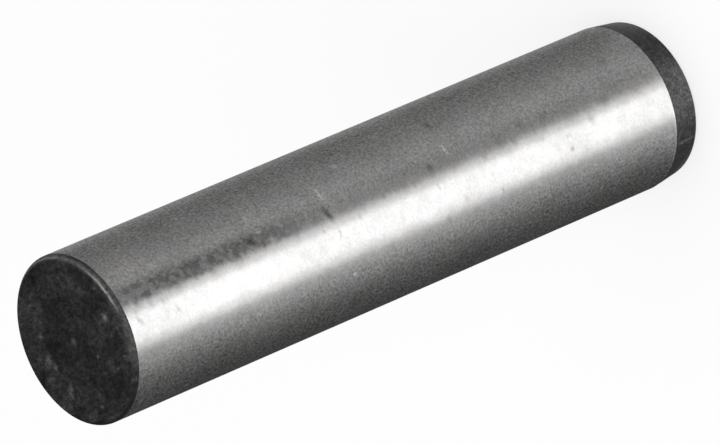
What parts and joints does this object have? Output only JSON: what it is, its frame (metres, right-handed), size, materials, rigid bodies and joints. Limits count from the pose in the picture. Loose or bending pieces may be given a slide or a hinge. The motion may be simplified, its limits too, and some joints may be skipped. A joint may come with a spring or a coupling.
{
  "type": "dowel pin",
  "caption": "Cylindrical hardened steel dowel pin with a ground shank, a tapered lead-in at one end and a flat, edge-rounded face at the other.",
  "frame": {"origin": "centre of the end face of the tapered lead-in end, which the pin stands on", "axes": "+Z along the pin's axis, from the lead-in end up to the flat end; X and Y are any two directions across it, because the pin is round"},
  "size_m": [0.008, 0.008, 0.035],
  "materials": {
    "hardened_steel": "shank ground bright, fine grinding marks round it; both end faces, the lead-in and the corner band dark from heat treatment"
  },
  "bodies": {
    "root": {"dowel_pin": "hardened_steel"}
  },
  "joints": []
}
